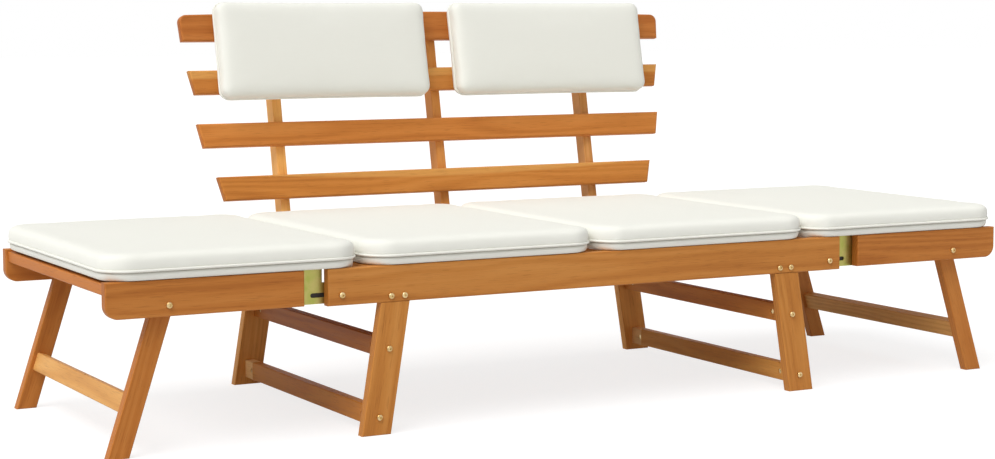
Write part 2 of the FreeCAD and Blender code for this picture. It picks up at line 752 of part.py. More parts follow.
foot_inner = leg_point(-half_width, (wing_leg_level - half_width * splay_sine) / splay_cosine)
foot_outer = leg_point(half_width, (wing_leg_level + half_width * splay_sine) / splay_cosine)
flat_outer = leg_point(half_width, (half_width * splay_sine - wing_leg_reach) / splay_cosine)
flat_inner = point(wing_leg_offset, wing_leg_front, wing_leg_level + wing_leg_reach)
shoulder_down = -math.sqrt(wing_leg_reach ** 2 - half_width ** 2)
shoulder = leg_point(-half_width, shoulder_down)
shoulder_angle = math.atan2(shoulder.z - wing_leg_level, shoulder.x - wing_leg_offset)
middle_angle = (math.pi / 2 + shoulder_angle) / 2
round_x = wing_leg_offset + wing_leg_reach * math.cos(middle_angle)
round_z = wing_leg_level + wing_leg_reach * math.sin(middle_angle)
round_middle = point(round_x, wing_leg_front, round_z)
leg_sides = [Part.makeLine(foot_inner, foot_outer), Part.makeLine(foot_outer, flat_outer)]
leg_sides.append(Part.makeLine(flat_outer, flat_inner))
leg_sides.append(arc(flat_inner, round_middle, shoulder))
leg_sides.append(Part.makeLine(shoulder, foot_inner))
wing_leg = Part.Face(Part.Wire(leg_sides)).extrude(point(0, wing_leg_thickness, 0))
wing_leg = rounded_outline(wing_leg, "y", wing_leg_edge_radius)
wing_leg = wing_leg.cut(leg_pin_bore)
wing_leg_rear = frame_depth - wing_leg_back


def stretcher_bar(width, height, y_low, y_high):
    # A bar along Y at the stretcher's place on the swinging leg, square to the leg.
    corners = []
    for out, down in ((-1, -1), (1, -1), (1, 1), (-1, 1)):
        place = leg_point(out * width / 2, wing_stretcher_distance + down * height / 2)
        corners.append((place.x, place.z))
    return board(corners, y_low, y_high)


wing_stretcher = stretcher_bar(wing_stretcher_thickness, wing_stretcher_height, wing_leg_back, wing_leg_rear)
long_edges = [edge for edge in wing_stretcher.Edges if edge.BoundBox.YLength > 1]
wing_stretcher = wing_stretcher.makeFillet(stretcher_edge_radius, long_edges)
tenon_width = wing_stretcher_thickness - 2 * wing_stretcher_shoulder
tenon_height = wing_stretcher_height - 2 * wing_stretcher_shoulder
tenon_from = wing_leg_back - wing_stretcher_tenon
tenon_to = wing_leg_rear + wing_stretcher_tenon
tenon = stretcher_bar(tenon_width, tenon_height, tenon_from, tenon_to)
wing_stretcher = wing_stretcher.fuse(tenon).removeSplitter()
socket_width = tenon_width + 2 * tenon_clearance
socket_height = tenon_height + 2 * tenon_clearance
socket_from = tenon_from - tenon_clearance
socket_to = tenon_to + tenon_clearance
socket = stretcher_bar(socket_width, socket_height, socket_from, socket_to)
wing_rear_leg = rear_mirrored(wing_leg).cut(socket)
wing_front_leg = wing_leg.cut(socket)
write("right_wing_front_leg", wing_front_leg)
write("left_wing_front_leg", mirrored(wing_front_leg))
write("right_wing_rear_leg", wing_rear_leg)
write("left_wing_rear_leg", mirrored(wing_rear_leg))
write("right_wing_stretcher", wing_stretcher)
write("left_wing_stretcher", mirrored(wing_stretcher))

# The bolts the legs swing on, with a spacer between rail and leg.
spacer_end = wing_leg_front - side_clearance
leg_washer_start = wing_leg_back + side_clearance
leg_nut_start = leg_washer_start + washer_thickness
leg_pin_tip = leg_nut_start + nut_height + bolt_tip_reach
leg_pins = [
    bolt(wing_leg_offset, wing_leg_level, 0, leg_pin_tip, pivot_radius),
    washer(wing_leg_offset, wing_leg_level, inner_front, spacer_end, washer_radius, pivot_radius),
    washer(wing_leg_offset, wing_leg_level, leg_washer_start, leg_nut_start, washer_radius, pivot_radius),
    nut(wing_leg_offset, wing_leg_level, leg_nut_start, pivot_radius),
]
leg_pins = leg_pins + [rear_mirrored(piece) for piece in leg_pins]
write("right_wing_leg_bolts", Part.makeCompound(leg_pins))
write("left_wing_leg_bolts", mirrored(Part.makeCompound(leg_pins)))

# Seat cushions: two on the centre frame, and one at each end that reaches over its wing.
seat_width = seat_cushion_split - cushion_gap
end_width = half_length - end_cushion_inset - seat_cushion_split - cushion_gap / 2
pad_sizes = (seat_cushion_height, seat_cushion_edge, seat_cushion_seam, cushion_corner_radius)
seat_pad = pillow(seat_width, seat_cushion_depth, *pad_sizes)
end_pad = pillow(end_width, seat_cushion_depth, *pad_sizes)
pad_middle = seat_cushion_front + seat_cushion_depth / 2
pad_level = rail_top + cushion_clearance
seat_pad.translate(point(seat_cushion_split / 2, pad_middle, pad_level))
end_pad.translate(point(half_length - end_cushion_inset - end_width / 2, pad_middle, pad_level))
write("right_seat_cushion", seat_pad)
write("left_seat_cushion", mirrored(seat_pad))
write("right_end_cushion", end_pad)
write("left_end_cushion", mirrored(end_pad))

# Back cushions in front of the two upper back slats.
back_width = back_cushion_outer - back_cushion_inner
back_height = back_cushion_high - back_cushion_low
back_sizes = (back_cushion_height, back_cushion_edge, back_cushion_seam, back_cushion_corner_radius)
back_pad = pillow(back_width, back_height, *back_sizes)
back_pad.rotate(point(0, 0, 0), point(1, 0, 0), 90)
back_middle = (back_cushion_inner + back_cushion_outer) / 2
back_level = (back_cushion_low + back_cushion_high) / 2
back_pad.translate(point(back_middle, -cushion_clearance, back_level))
back_pad = leaned(back_pad)
write("right_back_cushion", back_pad)
write("left_back_cushion", mirrored(back_pad))
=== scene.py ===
import math

import bpy
import numpy as np
from mathutils import Matrix, Vector


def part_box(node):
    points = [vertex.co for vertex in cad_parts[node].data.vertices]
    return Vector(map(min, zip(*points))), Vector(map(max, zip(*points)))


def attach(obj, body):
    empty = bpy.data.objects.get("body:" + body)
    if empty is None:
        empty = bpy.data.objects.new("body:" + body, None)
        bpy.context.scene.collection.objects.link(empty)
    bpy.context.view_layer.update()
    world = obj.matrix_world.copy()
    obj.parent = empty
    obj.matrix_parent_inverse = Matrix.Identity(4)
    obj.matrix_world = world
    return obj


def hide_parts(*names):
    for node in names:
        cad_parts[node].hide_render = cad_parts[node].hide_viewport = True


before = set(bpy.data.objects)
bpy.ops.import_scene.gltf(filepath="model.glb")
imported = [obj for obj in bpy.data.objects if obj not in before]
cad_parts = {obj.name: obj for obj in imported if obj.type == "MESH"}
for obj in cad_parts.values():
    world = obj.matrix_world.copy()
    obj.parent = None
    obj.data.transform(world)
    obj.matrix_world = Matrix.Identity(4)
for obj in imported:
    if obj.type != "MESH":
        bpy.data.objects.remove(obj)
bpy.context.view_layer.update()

# Front and rear rail of the bench: planed acacia boards set on edge, with rounded arrises and an oil finish.
# They carry the legs, the back posts and the slats, which are tenoned into their inner faces.
along_x = (0.0, 0.0, 0.0)
heart_dark = (0.405, 0.130, 0.021)
heart = (0.545, 0.201, 0.038)
heart_light = (0.635, 0.264, 0.060)
heart_levels = (0.24, 0.48, 0.74)
ring_share = 0.16
tone_share = 0.52
fibre_share = 0.32
ring_spacing = 0.0058
ring_wander = 0.035
pore_brown = (0.45, 0.36, 0.30)
pore_share = 0.35
pore_relief = 0.8
# End faces are darkened for the end grain, but less than the grain alone would give: part of the lift is
# painted light on end faces that lie in shade.
end_grain_and_painted_light = (0.82, 0.74, 0.60)
end_grain_fade = (0.45, 0.80)
oiled_roughness = (0.40, 0.62)
oiled_gloss = 0.18
trunk_step = 0.71
from_the_pith = 0.045
pith_spread = 0.06
aside_spread = 0.05
aside_start = 0.02


def add(tree, kind, inputs=None, **settings):
    """Adds a node; each input is named or numbered and takes another node's output or a plain value."""
    made = tree.nodes.new(kind)
    for key, value in settings.items():
        setattr(made, key, value)
    for key, value in (inputs or {}).items():
        if isinstance(value, bpy.types.NodeSocket):
            tree.links.new(value, made.inputs[key])
        else:
            made.inputs[key].default_value = value
    return made


def maths(tree, operation, *values):
    """Works out one number from others."""
    return add(tree, "ShaderNodeMath", dict(enumerate(values)), operation=operation).outputs[0]


def remap(tree, value, old=(0.0, 1.0), new=(0.0, 1.0)):
    """Carries a number from its old range over to a new one."""
    ends = {"Value": value, "From Min": old[0], "From Max": old[1], "To Min": new[0], "To Max": new[1]}
    return add(tree, "ShaderNodeMapRange", ends).outputs[0]


def mixed(tree, share, first, second, blend="MIX"):
    """Mixes a share of the second colour into the first."""
    made = add(tree, "ShaderNodeMix", data_type="RGBA", blend_type=blend)
    for socket, value in (("Factor", share), (6, first), (7, second)):
        if isinstance(value, bpy.types.NodeSocket):
            tree.links.new(value, made.inputs[socket])
        else:
            made.inputs[socket].default_value = (*value, 1.0)
    return made.outputs[2]


def object_place(tree):
    """The place on the piece, in metres."""
    return add(tree, "ShaderNodeTexCoord").outputs["Object"]


def bumped(tree, height, strength, distance):
    """The normal of a surface with that relief."""
    sizes = {"Strength": strength, "Distance": distance, "Height": height}
    return add(tree, "ShaderNodeBump", sizes).outputs[0]


def surfaced(tree, colour, roughness, normal):
    """Ends a material's tree in a shader with that colour, roughness and relief."""
    ends = {"Base Color": colour, "Roughness": roughness, "Normal": normal}
    shader = add(tree, "ShaderNodeBsdfPrincipled", ends)
    add(tree, "ShaderNodeOutputMaterial", {"Surface": shader.outputs[0]})
    return shader


def blank_material(name):
    """A new material with an empty tree."""
    material = bpy.data.materials.new(name)
    material.use_nodes = True
    material.node_tree.nodes.clear()
    return material


def sockets(tree, way, kind, *names):
    """Gives a group its named inputs or outputs."""
    for name in names:
        tree.interface.new_socket(name=name, in_out=way, socket_type="NodeSocket" + kind)


def stretched_noise(tree, place, stretch, detail, roughness):
    """Noise drawn out along the grain, with so many cells per metre along, across and through the board."""
    scaled = add(tree, "ShaderNodeVectorMath", {0: place, 1: stretch}, operation="MULTIPLY")
    sizes = {"Vector": scaled.outputs[0], "Scale": 1.0, "Detail": detail, "Roughness": roughness}
    return add(tree, "ShaderNodeTexNoise", sizes).outputs["Fac"]


def grain_group():
    """Growth rings, fibres, pores and broad tone of a board whose grain runs along the vector's X."""
    group = bpy.data.node_groups.new("acacia_grain", "ShaderNodeTree")
    sockets(group, "INPUT", "Vector", "Vector")
    sockets(group, "INPUT", "Float", "Ring Spacing")
    sockets(group, "OUTPUT", "Float", "Rings", "Fibre", "Pores", "Tone")
    start = add(group, "NodeGroupInput")
    place = start.outputs["Vector"]
    wander = stretched_noise(group, place, (1.3, 7.0, 7.0), 2.0, 0.5)
    section = add(group, "ShaderNodeVectorMath", {0: place, 1: (0.0, 1.0, 1.0)}, operation="MULTIPLY")
    radius = add(group, "ShaderNodeVectorMath", {0: section.outputs[0]}, operation="LENGTH").outputs["Value"]
    bent = maths(group, "MULTIPLY_ADD", wander, ring_wander, radius)
    count = maths(group, "DIVIDE", bent, start.outputs["Ring Spacing"])
    wave = maths(group, "SINE", maths(group, "MULTIPLY", count, math.tau))
    rings = maths(group, "MULTIPLY_ADD", wave, 0.5, 0.5)
    fibre = stretched_noise(group, place, (5.0, 330.0, 330.0), 4.0, 0.62)
    specks = stretched_noise(group, place, (30.0, 1000.0, 1000.0), 1.0, 0.5)
    pores = remap(group, specks, (0.60, 0.70))
    tone = stretched_noise(group, place, (0.9, 16.0, 16.0), 2.5, 0.55)
    add(group, "NodeGroupOutput", {"Rings": rings, "Fibre": fibre, "Pores": pores, "Tone": tone})
    return group


def dress(node_name, material):
    """Gives a node of the frame its finish."""
    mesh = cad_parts[node_name].data
    mesh.materials.clear()
    mesh.materials.append(material)


def acacia(node_name, turn, seed, tint=(1.0, 1.0, 1.0), pale_band_at=None, lit_from=None):
    """Dresses a node in oiled acacia. turn brings its length on to X, and the seed picks where in the trunk
    it was cut. pale_band_at is the level and rise of a pale upper band, lit_from is where a painted patch of
    light begins."""
    material = blank_material(node_name + "_acacia")
    tree = material.node_tree
    low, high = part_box(node_name)
    turned = Matrix.Rotation(turn[2], 3, "Z") @ Matrix.Rotation(turn[1], 3, "Y")
    turned = turned @ Matrix.Rotation(turn[0], 3, "X")
    centred = -(turned @ ((low + high) / 2))
    from_heart = from_the_pith + pith_spread * (seed * 0.618 % 1)
    aside = aside_spread * (seed * 0.414 % 1) - aside_start
    cut = Vector((seed * trunk_step, from_heart, aside))
    ends = {"Vector": object_place(tree), "Location": centred, "Rotation": turn}
    own = add(tree, "ShaderNodeMapping", ends).outputs[0]
    moved = add(tree, "ShaderNodeVectorMath", {0: own, 1: cut}, operation="ADD").outputs[0]
    board = {"Vector": moved, "Ring Spacing": ring_spacing}
    grain = add(tree, "ShaderNodeGroup", board, node_tree=acacia_grain).outputs
    figure = maths(tree, "MULTIPLY", grain["Rings"], ring_share)
    figure = maths(tree, "MULTIPLY_ADD", grain["Tone"], tone_share, figure)
    figure = maths(tree, "MULTIPLY_ADD", grain["Fibre"], fibre_share, figure)
    ramp = add(tree, "ShaderNodeValToRGB", {"Fac": figure})
    stops = ramp.color_ramp.elements
    stops[0].position = heart_levels[0]
    stops[1].position = heart_levels[2]
    stops.new(heart_levels[1])
    for stop, colour in zip(stops, (heart_dark, heart, heart_light)):
        stop.color = [channel * share for channel, share in zip(colour, tint)] + [1.0]
    colour = ramp.outputs["Color"]
    if pale_band_at:
        level, rise = pale_band_at
        parts = add(tree, "ShaderNodeSeparateXYZ", {0: own}).outputs
        squared = maths(tree, "MULTIPLY", parts["X"], parts["X"])
        edge = maths(tree, "MULTIPLY_ADD", squared, rise, level)
        above = maths(tree, "SUBTRACT", parts["Z"], edge)
        ragged = maths(tree, "MULTIPLY_ADD", grain["Tone"], pale_band_ragged, above)
        colour = mixed(tree, remap(tree, ragged, pale_band_fade, (0.0, pale_band_share)), colour, pale_band)
    # Painted light: from lit_from on, the bar is coloured pale where light falls on its rear end.
    if lit_from:
        length = add(tree, "ShaderNodeSeparateXYZ", {0: own}).outputs["X"]
        colour = mixed(tree, maths(tree, "GREATER_THAN", length, lit_from), colour, painted_lit_end)
    pored = maths(tree, "MULTIPLY", grain["Pores"], pore_share)
    colour = mixed(tree, pored, colour, pore_brown, "MULTIPLY")
    along = turned.transposed() @ Vector((1.0, 0.0, 0.0))
    facing = add(tree, "ShaderNodeTexCoord").outputs["Normal"]
    sawn = add(tree, "ShaderNodeVectorMath", {0: facing, 1: along}, operation="DOT_PRODUCT").outputs["Value"]
    # End faces: darker end grain, partly lifted as painted light.
    sawn = remap(tree, maths(tree, "MULTIPLY", sawn, sawn), end_grain_fade)
    colour = mixed(tree, sawn, colour, end_grain_and_painted_light, "MULTIPLY")
    rough = remap(tree, grain["Fibre"], new=oiled_roughness)
    relief = maths(tree, "MULTIPLY_ADD", grain["Pores"], -pore_relief, grain["Fibre"])
    shader = surfaced(tree, colour, rough, bumped(tree, relief, 0.30, 0.0004))
    shader.inputs["Specular IOR Level"].default_value = oiled_gloss
    dress(node_name, material)


acacia_grain = grain_group()
acacia("front_rail", along_x, 1, (0.98, 1.02, 1.08))
acacia("rear_rail", along_x, 2, (0.95, 0.93, 0.90))

# Four legs: splayed acacia boards. The front pair is halved into the back of the rail and comes out flush
# below it, and the rear pair is bolted on behind the rear rail.
leg_splay = 0.163
# Each leg's tint is partly its own tone; the rear legs are lightened well beyond it as painted light, since
# they stand in shade.
leg_tone_and_painted_light = {
    "front_left": (1.0, 1.06, 1.10), "front_right": (1.0, 1.06, 1.10),
    "rear_left": (1.28, 1.55, 1.95), "rear_right": (1.55, 1.95, 2.60),
}
for seed, name in enumerate(leg_tone_and_painted_light):
    way = 1 if name.endswith("left") else -1
    upward = (0.0, math.atan2(1.0, way * leg_splay), 0.0)
    acacia(name + "_leg", upward, 3 + seed, leg_tone_and_painted_light[name])

# Stretchers between the front and the rear legs: square acacia bars, each drawn up at both ends by a bolt
# that runs into a barrel nut across the bar. The lower ones get a pale patch at the rear end: painted light,
# where light falls past the rear leg.
along_y = (0.0, 0.0, -math.pi / 2)
lit_end_length = 0.038
# Pale colour of the painted patch of light at the rear end of the lower stretchers.
painted_lit_end = (0.86, 0.52, 0.22)
# Each bar's tint is partly its own tone and partly painted light and shade: the left upper bar is darkened as
# painted shade under the wing, and the lower ones are lightened as painted light, the right lower one most.
stretcher_tone_and_painted_light = {
    "left_upper": (0.78, 0.67, 0.42), "left_lower": (1.10, 1.12, 0.80),
    "right_upper": (1.09, 1.04, 0.95), "right_lower": (1.24, 1.46, 1.55),
}
for seed, name in enumerate(stretcher_tone_and_painted_light):
    low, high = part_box(name + "_stretcher")
    lit_end_start = (high.y - low.y) / 2 - lit_end_length if name.endswith("lower") else None
    acacia(name + "_stretcher", along_y, 7 + seed, stretcher_tone_and_painted_light[name], lit_from=lit_end_start)

# Ten seat slats: acacia boards across the bench under the cushions, with a tenon at each end that is glued
# into the rails. They aren't matched for colour.
seat_slat_count = 10
darkest_slat = 0.94
slat_difference = 0.03
for number in range(1, seat_slat_count + 1):
    shade = darkest_slat + slat_difference * (number % 4)
    acacia("seat_slat_%02d" % number, along_y, 10 + number, (shade, shade, shade))

# Three back posts: leaning acacia bars with a sawn foot, bolted to the rear rail from behind. The outer two
# are coloured paler.
back_lean = math.radians(11.4)
up_the_back = (back_lean, math.pi / 2, 0.0)
post_tints = {"left": (1.80, 2.45, 3.50), "centre": (1.23, 1.30, 1.50), "right": (1.22, 1.50, 2.30)}
for seed, place in enumerate(post_tints):
    acacia("back_post_" + place, up_the_back, 22 + seed, post_tints[place])

# Four back slats: long acacia boards screwed to the posts from behind. Two have a pale band along their
# upper side: straight on one, thickest in the middle on the lowest.
across_the_back = (back_lean, 0.0, 0.0)
pale_band = (0.735, 0.360, 0.095)
pale_band_share = 0.75
pale_band_fade = (0.004, 0.0085)
pale_band_ragged = 0.012
pale_band_edges = {1: (0.0085, 0.075), 3: (0.0075, 0.0)}
slat_tints = {1: (1.06, 1.04, 1.0), 2: (1.12, 1.05, 1.06), 3: (1.0, 0.95, 0.92), 4: (0.90, 0.78, 0.80)}
for number, tint in slat_tints.items():
    acacia("back_slat_%d" % number, across_the_back, 25 + number, tint, pale_band_edges.get(number))

# Bolts, nuts, barrel nuts and screws of the bench: turned steel with a yellow zinc plating, which is cloudy
# and paler in places.
bolt_gold = (0.50, 0.33, 0.12)
bolt_pale = (0.74, 0.58, 0.32)
bolt_cloud = 0.006


def zinc(name, deep, pale, cloud_size, roughness):
    """Passivated zinc on steel: cloudy colour and gloss, in clouds of the given size."""
    material = blank_material(name)
    tree = material.node_tree
    place = object_place(tree)
    sizes = {"Vector": place, "Scale": 1.0 / cloud_size, "Detail": 4.0}
    cloud = add(tree, "ShaderNodeTexNoise", sizes).outputs["Fac"]
    colour = mixed(tree, remap(tree, cloud, (0.35, 0.65)), deep, pale)
    sizes = {"Vector": place, "Scale": 8.0 / cloud_size, "Detail": 2.0}
    fine = add(tree, "ShaderNodeTexNoise", sizes).outputs["Fac"]
    shader = surfaced(tree, colour, remap(tree, cloud, new=roughness), bumped(tree, fine, 0.12, 0.0002))
    shader.inputs["Metallic"].default_value = 1.0
    return material


bolt_zinc = zinc("bolt_zinc", bolt_gold, bolt_pale, bolt_cloud, (0.22, 0.36))
for name in ("leg_bolts", "stretcher_bolts", "post_bolts", "slat_screws"):
    dress(name, bolt_zinc)

# Wings: at each end two acacia rails with a rounded lower corner, and four slats tenoned in between them. The
# outermost slat shows at the end of the bench.
sides = ("left", "right")
for seed, side in enumerate(sides):
    acacia(side + "_wing_front_rail", along_x, 30 + seed, (0.92, 0.88, 0.88))
    acacia(side + "_wing_rear_rail", along_x, 32 + seed, (0.94, 0.90, 0.90))
    acacia(side + "_wing_slats", along_y, 34 + seed, (0.93, 0.80, 0.58))

# Hinge plates: slotted strips of steel with a greenish yellow zinc plating, screwed to the inner faces of the
# wing rails. The pivot bolts run in their slots, so a wing can slide as well as swing.
plate_green = (0.37, 0.38, 0.09)
plate_yellow = (0.48, 0.42, 0.14)
plate_cloud = 0.018
plate_zinc = zinc("plate_zinc", plate_green, plate_yellow, plate_cloud, (0.30, 0.44))
for side in sides:
    for name in ("_front_plate", "_rear_plate"):
        dress(side + name, plate_zinc)
    for name in ("_plate_screws", "_pivot_bolts"):
        dress(side + name, bolt_zinc)

# Glide strips: black nylon bars on the pivot bolts, between the washers and the plates, so that the slots slide
# without scraping. They show as the dark ground of the slots.
nylon_dark = (0.012, 0.009, 0.006)
nylon_worn = (0.030, 0.024, 0.018)
glide_nylon = blank_material("glide_nylon")
tree = glide_nylon.node_tree
rubbed = stretched_noise(tree, object_place(tree), (60.0, 900.0, 900.0), 3.0, 0.6)
black = mixed(tree, rubbed, nylon_dark, nylon_worn)
surfaced(tree, black, remap(tree, rubbed, new=(0.45, 0.65)), bumped(tree, rubbed, 0.15, 0.0002))
for side in sides:
    dress(side + "_glide_strips", glide_nylon)

# Swinging legs of the wings: splayed acacia boards joined by a tenoned stretcher. They turn on bolts through
# the wing rails and fold in under the slats.
wing_splay = math.radians(17.9)
for seed, side in enumerate(sides):
    way = 1 if side == "left" else -1
    upward = (0.0, math.pi / 2 - way * wing_splay, 0.0)
    acacia(side + "_wing_front_leg", upward, 36 + seed, (0.90, 0.83, 0.78))
    acacia(side + "_wing_rear_leg", upward, 38 + seed, (0.93, 0.90, 0.90))
    # Painted light: the wing stretchers' tint lightens them as if lit from the left.
    acacia(side + "_wing_stretcher", along_y, 40 + seed, (1.20, 1.60, 2.30))
    dress(side + "_wing_leg_bolts", bolt_zinc)

# Seat cushions of the bench: foam pads in a woven cream cover of two panels, which meet in a piped seam below
# mid-height. They lie loose, a little off their places, and the lower panel sinks where nothing carries it: in
# front of the rail, and over the gap beside the last slat as far as a wing's plate may slide in.
cloth_cream = (0.855, 0.853, 0.785)
cloth_shade = (0.810, 0.808, 0.740)
# Grey painted into the groove under the seam as shade.
groove_painted_shade = (0.30, 0.27, 0.22)
thread_pitch = 0.0011
cell = 0.010
corner_radius = 0.055
tightest_corner = 0.004
draw_in = 0.0008
dome_flatness = 2.6
dome_fullness = 0.75
seam_level = 0.0172
seam_depth = 0.0022
groove_drop = 0.0024
groove_width = 0.0011
pucker = 0.0006
pucker_reach = 0.009
held_drop = 0.0015
held_band = 0.0022
held_base = 0.0004
foam_cap = 0.005
welt_radius = 0.0023
front_overhang = 0.005
droop = 0.0045
droop_ease = 0.006
droop_start = 0.001
slide_room = 0.023
seat_profile = [
    (0.0122, 0.0), (0.0086, 0.0006), (0.0064, 0.0024), (0.0050, 0.0055), (0.0041, 0.0090), (0.0039, 0.0119),
    (0.0056, 0.0140), (0.0060, 0.0153), (0.0038, 0.0172), (0.0028, 0.0192), (0.0020, 0.0228), (0.0018, 0.0278),
    (0.0021, 0.0330), (0.0033, 0.0375), (0.0058, 0.0411), (0.0102, 0.0438), (0.0162, 0.0455), (0.0240, 0.0462),
]
seat_crown = 0.0440


def side_points(half_width, half_depth, radius, draw, count):
    """One side of a pad's plan, from the middle of one rounded corner to the next, pulled in between them."""
    reach = half_width - radius
    turn = np.linspace(-math.pi / 4, 0, 24)
    start = np.stack([-reach + radius * np.sin(turn), -half_depth + radius * (1 - np.cos(turn))], 1)
    across = np.linspace(-1, 1, 81)[1:-1]
    middle = np.stack([across * reach, -half_depth + draw * (1 - across ** 2)], 1)
    end = start[::-1] * (-1, 1)
    path = np.concatenate([start, middle, end])
    steps = np.concatenate([[0], np.cumsum(np.linalg.norm(np.diff(path, axis=0), axis=1))])
    wanted = np.linspace(0, steps[-1], count + 1)
    return np.stack([np.interp(wanted, steps, path[:, 0]), np.interp(wanted, steps, path[:, 1])], 1)


def plan(half_width, half_depth, radius, draw, columns, rows):
    """The whole plan as four sides, anticlockwise from the front, each without its last point."""
    front = side_points(half_width, half_depth, radius, draw, columns)
    right = side_points(half_depth, half_width, radius, draw, rows)
    right = np.stack([-right[:, 1], right[:, 0]], 1)
    return np.concatenate([front[:-1], right[:-1], -front[:-1], -right[:-1]])


def cap(ring, columns, rows):
    """Fills a ring of points with a grid, as (columns + 1) x (rows + 1) points in plan."""
    bottom = ring[:columns + 1]
    right = ring[columns:columns + rows + 1]
    top = ring[columns + rows:2 * columns + rows + 1][::-1]
    left = np.concatenate([ring[2 * columns + rows:], ring[:1]])[::-1]
    s = np.linspace(0, 1, columns + 1)[:, None, None]
    t = np.linspace(0, 1, rows + 1)[None, :, None]
    blend = (1 - t) * bottom[:, None] + t * top[:, None] + (1 - s) * left[None] + s * right[None]
    corners = (1 - s) * (1 - t) * bottom[0] + s * (1 - t) * bottom[-1]
    corners = corners + (1 - s) * t * top[0] + s * t * top[-1]
    return blend - corners


def pad_mesh(name, width, depth, profile, crown, radius):
    """A closed pad of quads round the origin. The profile lists (inset, height) from base to crown's edge,
    and the cloth's UV map is the cover spread flat, in metres."""
    columns = round(width / cell)
    rows = round(depth / cell)
    count = 2 * (columns + rows)
    rings = []
    for inset, height in profile:
        bend = max(radius - inset, tightest_corner)
        ring = plan(width / 2 - inset, depth / 2 - inset, bend, draw_in, columns, rows)
        rings.append(np.column_stack([ring, np.full(count, height)]))
    run = np.concatenate([[0], np.cumsum(np.linalg.norm(np.diff(np.array(profile), axis=0), axis=1))])
    outward = rings[0][:, :2] / np.linalg.norm(rings[0][:, :2], axis=1)[:, None]
    points = list(rings)
    flat = [rings[-1][:, :2] + outward * length for length in run[-1] - run]
    faces = []
    for level in range(len(rings) - 1):
        low = level * count
        for i in range(count):
            j = (i + 1) % count
            faces.append((low + i, low + j, low + count + j, low + count + i))
    total = len(rings) * count
    for level, facing in ((len(rings) - 1, 1), (0, -1)):
        inset, height = profile[level]
        grid = cap(rings[level][:, :2], columns, rows)
        reach = np.clip(np.abs(grid) / (np.array([width, depth]) / 2 - inset), 0, 1)
        dome = (1 - reach[..., 0] ** dome_flatness) * (1 - reach[..., 1] ** dome_flatness)
        rise = (crown - height) * dome ** dome_fullness if facing > 0 else 0 * dome
        edge = [(i, 0) for i in range(columns)] + [(columns, j) for j in range(rows)]
        edge += [(i, rows) for i in range(columns, 0, -1)] + [(0, j) for j in range(rows, 0, -1)]
        at = {key: level * count + index for index, key in enumerate(edge)}
        inner = []
        for i in range(1, columns):
            for j in range(1, rows):
                at[(i, j)] = total + len(inner)
                inner.append((*grid[i, j], height + rise[i, j]))
        inner = np.array(inner)
        points.append(inner)
        flat.append(inner[:, :2])
        total += len(inner)
        for i in range(columns):
            for j in range(rows):
                quad = (at[(i, j)], at[(i + 1, j)], at[(i + 1, j + 1)], at[(i, j + 1)])
                faces.append(quad if facing > 0 else quad[::-1])
    mesh = bpy.data.meshes.new(name)
    mesh.from_pydata(np.concatenate(points).tolist(), [], faces)
    layer = mesh.uv_layers.new(name="cloth")
    corners = np.zeros(len(mesh.loops), int)
    mesh.loops.foreach_get("vertex_index", corners)
    layer.data.foreach_set("uv", np.concatenate(flat)[corners].ravel())
    return mesh


def coordinates(mesh):
    """The points of a mesh, one row each."""
    found = np.zeros(len(mesh.vertices) * 3)
    mesh.vertices.foreach_get("co", found)
    return found.reshape(-1, 3)


def plain_copy(piece):
    """Puts the piece's evaluated mesh in place of its mesh and modifiers."""
    bpy.context.view_layer.update()
    evaluated = piece.evaluated_get(bpy.context.evaluated_depsgraph_get())
    mesh = bpy.data.meshes.new_from_object(evaluated)
    old = piece.data
    piece.modifiers.clear()
    piece.data = mesh
    mesh.name = old.name
    bpy.data.meshes.remove(old)


def stuff(piece, held, cap_distance):
    """Blows the cover up over its foam by a cloth simulation, scaled so that its largest move is the cap. The
    held points stay."""
    start = coordinates(piece.data)
    group = piece.vertex_groups.new(name="held")
    for index in np.nonzero(held)[0]:
        group.add([int(index)], 1.0, "REPLACE")
    cloth = piece.modifiers.new("cover", "CLOTH")
    settings = cloth.settings
    settings.quality = 5
    settings.mass = 0.25
    settings.tension_stiffness = 12.0
    settings.compression_stiffness = 12.0
    settings.shear_stiffness = 6.0
    settings.bending_stiffness = 0.6
    settings.vertex_group_mass = "held"
    settings.use_pressure = True
    settings.uniform_pressure_force = 4.0
    settings.shrink_min = -0.012
    settings.effector_weights.gravity = 0.0
    cloth.collision_settings.use_collision = False
    for step in range(1, 21):
        bpy.context.scene.frame_set(step)
    plain_copy(piece)
    piece.vertex_groups.clear()
    move = coordinates(piece.data) - start
    length = np.linalg.norm(move, axis=1)[:, None]
    move *= cap_distance / length.max()
    piece.data.vertices.foreach_set("co", (start + move).ravel())
    piece.data.update()
    bpy.context.scene.frame_set(1)


def crease(mesh, seam):
    """Marks the groove under the seam with painted shade, and gathers the cloth on both sides of it into small
    puckers.
    """
    points = coordinates(mesh)
    height = points[:, 2]
    depth = np.exp(-((height - seam + groove_drop) / groove_width) ** 2)
    # The mark is painted shade, darkest in the groove.
    groove_shade_mark = mesh.attributes.new("crease", "FLOAT", "POINT")
    groove_shade_mark.data.foreach_set("value", depth)
    around = np.arctan2(points[:, 1], points[:, 0])
    random = np.random.default_rng(len(points))
    wave = np.zeros(len(points))
    for turns in range(9, 95, 5):
        wave += np.sin(turns * around + random.uniform(0, math.tau)) * random.uniform(0.2, 1.0) / 4
    near = np.exp(-((height - seam) / pucker_reach) ** 2) - depth
    outward = points[:, :2] / np.linalg.norm(points[:, :2], axis=1)[:, None].clip(0.02)
    points[:, :2] += outward * (pucker * wave * near.clip(0))[:, None]
    mesh.vertices.foreach_set("co", points.ravel())
    mesh.update()


